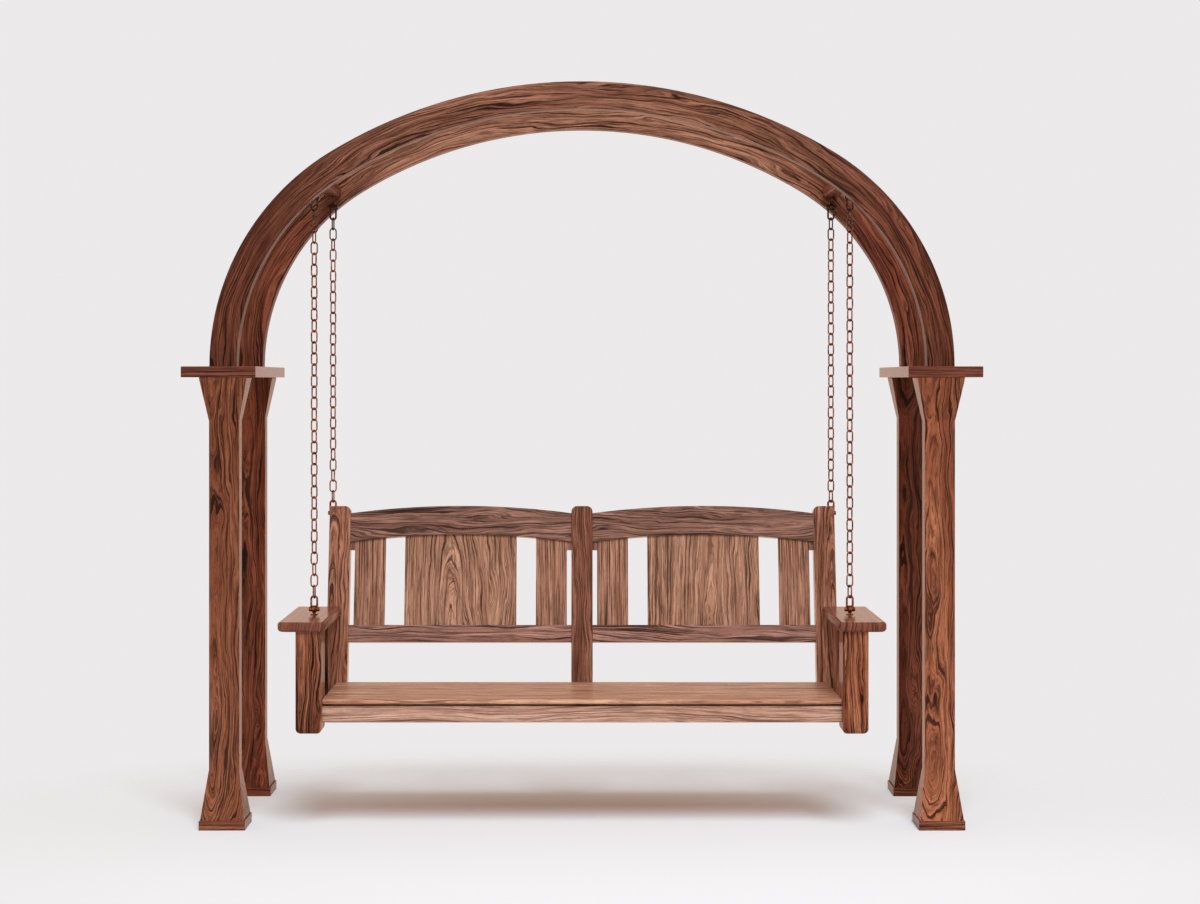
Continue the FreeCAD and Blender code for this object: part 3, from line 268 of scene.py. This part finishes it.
# How far the fibres stand up, the pores and dark lines lie deeper, and the fibres roughen the satin
FIBRE_RISE = 0.4
PORE_DEPTH = 0.6
LINE_DEPTH = 0.3
SATIN = 0.40
FIBRE_ROUGHNESS = 0.16
# The oil: a thin smooth coat that hardly shows from straight on and shines along a face
FULL_OIL = 0.7
OIL_BEND = 1.25
OIL_ROUGHNESS = 0.15
BARE_GLOSS = 0.05


def wood_grain(start, run, wide, deep, seed, figure, tones, oil=FULL_OIL):
    """Solid timber: uneven rings about a heart that lies behind the face, with streaks, fibres and pores.
    run, wide and deep are metres along the grain, across the face and into it."""
    pale, brown, black = tones
    aside, heart, runout, wander, often = figure

    def noise(first, second, third, detail=2.0):
        spot = start.node("ShaderNodeCombineXYZ", None, {"X": first, "Y": second, "Z": third})
        return start.node("ShaderNodeTexNoise", None, {
            "Vector": spot, "Scale": 1.0, "Detail": detail, "Roughness": 0.55})

    drift = noise(run * often + seed * DRIFT_SHIFT, wide * DRIFTS_ACROSS + seed * SIDE_SHIFT,
                  deep * DRIFTS_ACROSS) - NOISE_MIDDLE
    ripple = noise(run * (often * RIPPLE_PACE) + seed * RIPPLE_SHIFT, wide * RIPPLES_ACROSS,
                   deep * RIPPLES_ACROSS + seed) - NOISE_MIDDLE
    side_step = wide + drift * (wander * SIDEWAYS_SHARE) + aside
    depth_step = deep + run * runout + heart
    radius = start.math("SQRT", side_step * side_step + depth_step * depth_step)
    growth = radius + drift * wander + ripple * (wander * RIPPLE_SHARE)
    slow = run * SLOW_ALONG + seed * SLOW_SHIFT
    band = noise(growth * BANDS_THROUGH, slow, seed)
    ring = noise(growth * RINGS_THROUGH, slow * RING_PACE, seed + RING_START)
    hair = noise(growth * HAIRS_THROUGH, slow * HAIR_PACE, seed + HAIR_START, detail=1.0)
    fibre = noise(run * FIBRES_ALONG, wide * FIBRES_ACROSS, deep * FIBRES_ACROSS + seed)
    streak = noise(run * STREAKS_ALONG + drift * STREAK_CARRY, growth * STREAKS_THROUGH,
                   wide * STREAKS_ACROSS + seed * STREAK_SHIFT, detail=3.0)
    pores = noise(run * PORES_ALONG, wide * PORES_ACROSS, deep * PORES_ACROSS + seed, detail=1.0)
    pore = pores.step(*PORE_SPAN)
    line = ring.step(*LINE_SPAN)
    colour = band.step(*BROWN_SPAN).blend(pale, brown)
    colour = (fibre.step(*FIBRE_SPAN) * FIBRE_STRENGTH).blend(colour, brown)
    colour = (streak.step(*STREAK_SPAN) * STREAK_STRENGTH).blend(colour, black)
    colour = (hair.step(*HAIR_SPAN) * HAIR_STRENGTH).blend(colour, black)
    colour = (line * (band * LINE_GAIN + LINE_STRENGTH)).blend(colour, black)
    colour = (band.step(*BAND_SPAN) * BAND_STRENGTH).blend(colour, black)
    colour = (pore * PORE_STRENGTH).blend(colour, black)
    height = fibre * FIBRE_RISE - pore * PORE_DEPTH - line * LINE_DEPTH
    bump = start.node("ShaderNodeBump", None, {"Height": height, "Strength": 0.25, "Distance": 0.0006})
    shader = start.node("ShaderNodeBsdfPrincipled", None, {
        "Base Color": colour, "Roughness": fibre * FIBRE_ROUGHNESS + SATIN, "Normal": bump,
        "Specular IOR Level": BARE_GLOSS, "Coat Weight": oil, "Coat IOR": OIL_BEND,
        "Coat Roughness": OIL_ROUGHNESS})
    start.node("ShaderNodeOutputMaterial", None, {"Surface": shader})


def dress(node, material):
    """Give a node of the frame this material and no other."""
    materials = FRAME_NODES[node].data.materials
    materials.clear()
    materials.append(material)


def timber_axes(node, grain, face):
    """A node's own timber, with nothing in it yet but metres along the grain, across the face and into it."""
    material, start, place = bare_material(node + "_timber")
    dress(node, material)
    low, high = (Vector(corner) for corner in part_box(node))
    offset = start.vector_math("SUBTRACT", place, tuple((low + high) / 2))
    lengths = []
    for axis in (grain, face, grain.cross(face)):
        lengths.append(start.vector_math("DOT_PRODUCT", offset, tuple(axis), out="Value"))
    return start, lengths


def straight_timber(node, grain, face, tones, seed, figure, oil=FULL_OIL):
    """Give a node timber whose grain runs straight along it; face points across its widest face."""
    start, lengths = timber_axes(node, grain, face)
    wood_grain(start, *lengths, seed, figure, tones, oil)


# Each post's and front leg's tones are scaled by a share: the front right is lighter than the front left as
# painted light, for light that falls from the right; the rear left is lighter and the rear right darker than
# the others
PLANK_AND_LIGHT_SHARE = {"front": {"left": 0.92, "right": 1.28}, "rear": {"left": 1.13, "right": 0.78}}


def plank_and_light_tones(tones, row, side):
    """The tones of a timber in the front or rear row, on one side of the swing, scaled by its share of plank
    tone and painted light.
    """
    return [tuple(part * PLANK_AND_LIGHT_SHARE[row][side] for part in tone[:3]) + (1,) for tone in tones]


# Pale wood, brown wood and dark lines. The rear posts' tones are darker as painted shade, for the shade they
# stand in behind the front posts
POST_AND_SHADE_TONES = {"front": (paint(158, 97, 70), paint(128, 73, 52), paint(38, 19, 14)),
              "rear": (paint(144, 78, 56), paint(100, 51, 36), paint(16, 7, 6))}
POST_SEEDS = {"front": {"left": 5.0, "right": 7.6}, "rear": {"left": 4.0, "right": 6.6}}
POST_OIL = 0.5
PLINTH_HEIGHT = 0.030
PLINTH_EDGE = 0.0005
for row, tones in POST_AND_SHADE_TONES.items():
    for side, seed in POST_SEEDS[row].items():
        node = f"{row}_{side}_post"
        start, (up, right, back) = timber_axes(node, UPWARD, ACROSS)
        low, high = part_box(node)
        plinth_top = PLINTH_HEIGHT - (high[2] - low[2]) / 2
        above = up.step(plinth_top - PLINTH_EDGE, plinth_top + PLINTH_EDGE)
        run = up * above + right * (1 - above)
        wide = right * above + up * (1 - above)
        wood_grain(start, run, wide, back, seed, SWIRLING, plank_and_light_tones(tones, row, side), POST_OIL)

# Cap plates: one wide hardwood board over the front and rear post of each side, its grain along its front.
# The arches stand on top, and dowels run down through it into the posts.
PLATE_TONES = (paint(132, 78, 62), paint(103, 56, 44), paint(48, 24, 20))
PLATE_SEED = 7.0
for number, side in enumerate(("left", "right")):
    straight_timber(f"{side}_cap_plate", ACROSS, BACKWARD, PLATE_TONES, number + PLATE_SEED, STRAIGHT)


# Arches: each is three bent hardwood segments, two sides and a crown, with the grain following the bend.
# They are cut from one run of timber, so that the figure carries on over their glued and dowelled joints.
# The middle line of an arch: two side arcs that start at its feet, and a flatter crown between them
ARCH_FOOT = 1.523
SIDE_CENTRE = 0.401
SIDE_RADIUS = 0.785
CROWN_CENTRE = 0.86114
CROWN_RADIUS = 1.55886
CROWN_HALF_ANGLE = math.atan2(SIDE_CENTRE, ARCH_FOOT - CROWN_CENTRE)
# Metres from the top, along the arch, to where its paler crown ends and where its darker feet begin. The
# darker feet are painted shade
PALE_TO = 0.5
DARK_FROM = 1.2
ARCH_TONES = {"front": (paint(167, 114, 92), paint(125, 81, 64), paint(40, 23, 18)),
              "rear": (paint(187, 132, 107), paint(143, 95, 76), paint(46, 27, 21))}
ARCH_SHADED_FOOT_TONES = {"front": (paint(127, 75, 57), paint(94, 53, 41), paint(24, 11, 9)),
                   "rear": (paint(145, 83, 62), paint(108, 58, 44), paint(28, 13, 11))}
ARCH_SEEDS = {"front": 14.0, "rear": 15.0}
ARCH_OIL = 0.15


def bent_timber(segment, row, centre_x, centre_z, radius, joint_angle):
    """Give a segment of an arch timber whose grain runs round an arc, measured from the top of the arch."""
    node = f"{row}_arch_{segment}"
    material, start, place = bare_material(node + "_timber")
    dress(node, material)
    low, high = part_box(node)
    offset = start.vector_math("SUBTRACT", place, (centre_x, (low[1] + high[1]) / 2, centre_z))
    right, deep, up = (start.node("ShaderNodeSeparateXYZ", None, {"Vector": offset}, axis) for axis in "XYZ")
    reach = start.math("SQRT", right * right + up * up)
    turn = start.math("ARCTAN2", right, up)
    run = turn * radius + joint_angle * (CROWN_RADIUS - radius)
    # Towards the feet the arch takes darker tones: painted shade for its shaded sides
    shaded_feet = start.math("ABSOLUTE", run).step(PALE_TO, DARK_FROM)
    tones = [shaded_feet.blend(*pair) for pair in zip(ARCH_TONES[row], ARCH_SHADED_FOOT_TONES[row])]
    wood_grain(start, run, reach - radius, deep, ARCH_SEEDS[row], FLOWING, tones, ARCH_OIL)


for row in ARCH_SEEDS:
    bent_timber("crown", row, 0, CROWN_CENTRE, CROWN_RADIUS, 0)
    for side, sign in (("left", -1), ("right", 1)):
        bent_timber(side, row, sign * SIDE_CENTRE, ARCH_FOOT, SIDE_RADIUS, sign * CROWN_HALF_ANGLE)

# Hanger beams: short squared hardwood, dowelled between the arches over the chains, with hardly any oil.
# The dowels of the whole frame are plain turned hardwood and hidden in their holes.
BEAM_TONES = (paint(140, 80, 58), paint(112, 60, 43), paint(48, 24, 18))
BEAM_SEED = 21.0
BEAM_OIL = 0.1
DOWEL_SEED = 24.0
for number, side in enumerate(("left", "right")):
    beam = f"{side}_hanger_beam"
    straight_timber(beam, BACKWARD, ACROSS, BEAM_TONES, number + BEAM_SEED, STRAIGHT, BEAM_OIL)
straight_timber("frame_dowels", UPWARD, ACROSS, BEAM_TONES, DOWEL_SEED, STRAIGHT)

# Seat: five boards on bearers between a front and a rear rail, with their grain along the bench.
# The same hardwood as the frame, from paler planks and planed smooth. The rails end in tenons.
SEAT_TONES = (paint(216, 166, 137), paint(190, 135, 108), paint(104, 65, 49))
SEAT_BOARDS = 5
SEAT_SEED = 31.0
SEAT_OIL = 0.12
for number in range(SEAT_BOARDS):
    board = f"seat_board_{number + 1}"
    straight_timber(board, ACROSS, BACKWARD, SEAT_TONES, number + SEAT_SEED, STRAIGHT, SEAT_OIL)
RAIL_TONES = (paint(208, 168, 146), paint(187, 141, 118), paint(104, 70, 57))
FRONT_RAIL_SEED = 37.0
REAR_RAIL_SEED = 38.0
BEARER_SEED = 40.0
# Painted shade along the top edge of the front rail, for the shadow in the gap just under the boards: metres
# above its middle
SHADE_LINE_HEIGHT = 0.0262
SHADE_LINE_SOFTNESS = 0.001
SHADE_LINE_TONE = paint(30, 17, 13)
start, (along, up, inward) = timber_axes("front_seat_rail", ACROSS, UPWARD)
painted_shade_line = up.step(SHADE_LINE_HEIGHT - SHADE_LINE_SOFTNESS, SHADE_LINE_HEIGHT + SHADE_LINE_SOFTNESS)
shaded_rail_tones = [painted_shade_line.blend(tone, SHADE_LINE_TONE) for tone in RAIL_TONES]
wood_grain(start, along, up, inward, FRONT_RAIL_SEED, WAVY, shaded_rail_tones)
straight_timber("rear_seat_rail", ACROSS, UPWARD, RAIL_TONES, REAR_RAIL_SEED, WAVY)
BEARERS = ("left_side_rail", "right_side_rail", "seat_end_bearers", "seat_centre_bearer")
for number, node in enumerate(BEARERS):
    straight_timber(node, BACKWARD, UPWARD, RAIL_TONES, number + BEARER_SEED, STRAIGHT)

# Arms and front legs: a wide rounded hardwood board on each leg, which is tenoned into it, with a slat below
# between arm and side rail. Legs and slats have their grain upright, arms front to back.
LEG_TONES = (paint(180, 112, 82), paint(110, 60, 42), paint(18, 8, 6))
LEG_SEED = 45.0
LEG_OIL = 0.3
SIDE_SLAT_SEED = 47.0
ARM_TONES = (paint(142, 88, 70), paint(124, 73, 57), paint(70, 40, 31))
ARM_SEED = 49.0
ARM_OIL = 0.5
for number, side in enumerate(("left", "right")):
    # The legs take the front posts' shares, painted light included
    leg_tones = plank_and_light_tones(LEG_TONES, "front", side)
    straight_timber(f"{side}_front_leg", UPWARD, ACROSS, leg_tones, number + LEG_SEED, SWIRLING, LEG_OIL)
    straight_timber(f"{side}_side_slat", UPWARD, BACKWARD, leg_tones, number + SIDE_SLAT_SEED, STRAIGHT)
    straight_timber(f"{side}_arm", BACKWARD, ACROSS, ARM_TONES, number + ARM_SEED, STRAIGHT, ARM_OIL)

# Back: three hardwood posts with crowned crest rails, lower rails, narrow slats and a wide panel in each bay.
# It leans, and so does the upright grain of its posts, slats and panels. Coach screws through its outer posts
# hold it to the side rails and the arms.
RECLINE = math.radians(12)
UP_THE_BACK = Vector((0, math.sin(RECLINE), math.cos(RECLINE)))
BACK_POST_TONES = (paint(192, 132, 105), paint(147, 93, 72), paint(54, 29, 22))
CENTRE_POST_TONES = (paint(156, 102, 81), paint(118, 72, 57), paint(46, 26, 20))
PANEL_TONES = (paint(199, 148, 121), paint(164, 115, 92), paint(56, 37, 30))
# Each upright's tones, and how far beside its middle the heart lies, so that no two arched figures are alike
UPRIGHTS = {"left_back_post": (BACK_POST_TONES, 0.020), "right_back_post": (BACK_POST_TONES, -0.028),
            "centre_back_post": (CENTRE_POST_TONES, 0.120),
            "left_back_panel": (PANEL_TONES, 0.034), "right_back_panel": (PANEL_TONES, -0.022)}
UPRIGHT_SEED = 53.0
for number, (node, (tones, aside)) in enumerate(UPRIGHTS.items()):
    straight_timber(node, UP_THE_BACK, ACROSS, tones, number + UPRIGHT_SEED, (aside, *ARCHING[1:]))
CREST_TONES = (paint(164, 119, 102), paint(128, 90, 78), paint(40, 27, 24))
CREST_SEED = 60.0
LOWER_RAIL_TONES = (paint(183, 133, 117), paint(148, 104, 91), paint(46, 30, 26))
LOWER_RAIL_SEED = 63.0
for number, side in enumerate(("left", "right")):
    straight_timber(f"{side}_crest_rail", ACROSS, UP_THE_BACK, CREST_TONES, number + CREST_SEED, FLOWING)
    lower_rail = f"{side}_lower_rail"
    straight_timber(lower_rail, ACROSS, UP_THE_BACK, LOWER_RAIL_TONES, number + LOWER_RAIL_SEED, DRIFTING)
SLAT_TONES = (paint(193, 140, 114), paint(158, 108, 86), paint(54, 35, 29))
SLAT_SEED = 66.0
SPACER_SEED = 67.0
straight_timber("narrow_back_slats", UP_THE_BACK, ACROSS, SLAT_TONES, SLAT_SEED, STRAIGHT)
straight_timber("slat_spacer_blocks", UP_THE_BACK, ACROSS, CREST_TONES, SPACER_SEED, STRAIGHT)

# Chains: welded oval links bent from round bronze-coloured wire, each turned a quarter against the next.
# The bronze is worn in patches, and darker towards the top.
# A link's bend to the middle of its wire, the wire's radius, half the straight part, and the step to the next
LINK_BEND = 0.0115
LINK_WIRE = 0.0025
LINK_STRAIGHT = 0.009761
LINK_PITCH = 0.0372219
LINK_TOP = LINK_STRAIGHT + LINK_BEND + LINK_WIRE
LINK_ROUND_STEPS = 24
LINK_WIRE_STEPS = 8
HALF_STEP = math.pi / LINK_ROUND_STEPS
# The end links stand as the shackles need, and over five links the chain turns on by a lean
LINK_TURN = math.radians(112)
LINK_LEAN = math.radians(23)
LEAN_LINKS = 5
bpy.ops.object.select_all(action="DESELECT")
bpy.ops.mesh.primitive_torus_add(major_radius=LINK_BEND, minor_radius=LINK_WIRE,
                                 major_segments=LINK_ROUND_STEPS, minor_segments=LINK_WIRE_STEPS,
                                 location=(0, 0, 0), rotation=(QUARTER_TURN, HALF_STEP, 0))
pattern_link = bpy.context.object
bpy.ops.object.transform_apply(location=True, rotation=True, scale=True)
for end in (1, -1):
    bpy.ops.object.mode_set(mode="EDIT")
    bpy.ops.mesh.select_all(action="DESELECT")
    shape = bmesh.from_edit_mesh(pattern_link.data)
    for vertex in shape.verts:
        vertex.select = vertex.co.z * end > 0
    shape.select_flush_mode()
    bmesh.update_edit_mesh(pattern_link.data)
    bpy.ops.transform.translate(value=(0, 0, end * LINK_STRAIGHT))
    bpy.ops.object.mode_set(mode="OBJECT")

# Worn and dull metal
BRONZE = (paint(162, 107, 75), paint(68, 39, 26))
TOP_COLOURS = (paint(96, 78, 70), paint(52, 40, 36))
BRONZE_ROUGHNESS = 0.2
# Metres above the floor, and how far to each side of that level one metal turns into the other
DARKER_FROM = 1.96
LEVEL_SOFTNESS = 0.06
DULL_SPAN = (0.35, 0.68)
DULL_ROUGHNESS = 0.28


def worn_metal(name, worn, dull, roughness, above=None, level=None):
    """Metal with dull blotches and fine scratches; above is its two colours higher up than level."""
    material, start, place = bare_material(name)
    blotch = start.node("ShaderNodeTexNoise", None, {"Vector": place, "Scale": 100.0, "Detail": 3.0})
    scratch = start.node("ShaderNodeTexNoise", None, {"Vector": place, "Scale": 800.0, "Detail": 2.0})
    patches = blotch.step(*DULL_SPAN)
    colour = patches.blend(worn, dull)
    if above:
        height = start.node("ShaderNodeSeparateXYZ", None, {"Vector": place}, "Z")
        higher = height.step(level - LEVEL_SOFTNESS, level + LEVEL_SOFTNESS)
        colour = higher.blend(colour, patches.blend(*above))
    bump = start.node("ShaderNodeBump", None, {"Height": scratch, "Strength": 0.25, "Distance": 0.0002})
    shader = start.node("ShaderNodeBsdfPrincipled", None, {
        "Base Color": colour, "Metallic": 1.0, "Normal": bump,
        "Roughness": blotch * DULL_ROUGHNESS + roughness})
    start.node("ShaderNodeOutputMaterial", None, {"Surface": shader})
    return material


bronze = worn_metal("chain_bronze", *BRONZE, BRONZE_ROUGHNESS, TOP_COLOURS, DARKER_FROM)
for node, body in (("front_left_chain", "front_chains"), ("front_right_chain", "front_chains"),
                   ("rear_left_chain", "rear_chains"), ("rear_right_chain", "rear_chains")):
    low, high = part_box(node)
    middle_x = (low[0] + high[0]) / 2
    middle_y = (low[1] + high[1]) / 2
    count = round((high[2] - low[2] - 2 * LINK_TOP) / LINK_PITCH) + 1
    links = []
    for number in range(count):
        link = bpy.data.objects.new(f"{node}_link_{number}", pattern_link.data.copy())
        from_end = min(number, count - 1 - number)
        turn = LINK_TURN + LINK_LEAN * min(from_end / LEAN_LINKS, 1) + QUARTER_TURN * (number % 2)
        height = high[2] - LINK_TOP - number * LINK_PITCH
        spot = Matrix.Translation((middle_x, middle_y, height))
        link.data.transform(spot @ Matrix.Rotation(turn, 4, "Z"))
        bpy.context.collection.objects.link(link)
        links.append(link)
    bpy.ops.object.select_all(action="DESELECT")
    for link in links:
        link.select_set(True)
    bpy.context.view_layer.objects.active = links[0]
    bpy.ops.object.join()
    chain = bpy.context.object
    chain.name = node + "_links"
    bpy.ops.object.shade_smooth()
    chain.data.materials.append(bronze)
    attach(chain, body)
    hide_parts(node)
bpy.data.objects.remove(pattern_link)

# Ironwork: eye bolts and nuts, shackles with their pins, brackets and coach screws.
# Forged and blackened, with patches rubbed a little brighter. The arms' shackles, pins and eye bolts are of
# the chains' bronze, and so are the lower shackles of the rear chains.
IRONWORK = ("hanger_eye_bolts", "hanger_nuts", "front_shackles", "front_shackle_pins", "arm_nuts",
            "rear_brackets", "back_screws", "bracket_screws")
REAR_METAL = ("rear_shackles", "rear_shackle_pins")
ARM_METAL = ("arm_shackles", "arm_shackle_pins", "arm_eye_bolts")
IRON = (paint(46, 38, 36), paint(92, 66, 54))
IRON_ROUGHNESS = 0.32
REAR_ROUGHNESS = 0.25
# A height between the upper and the lower shackles of the rear chains
CHAIN_MIDDLE = 1.5
iron = worn_metal("blackened_iron", *IRON, IRON_ROUGHNESS)
rear_metal = worn_metal("rear_shackle_metal", *BRONZE, REAR_ROUGHNESS, IRON, CHAIN_MIDDLE)
for nodes, metal in ((IRONWORK, iron), (REAR_METAL, rear_metal), (ARM_METAL, bronze)):
    for node in nodes:
        dress(node, metal)
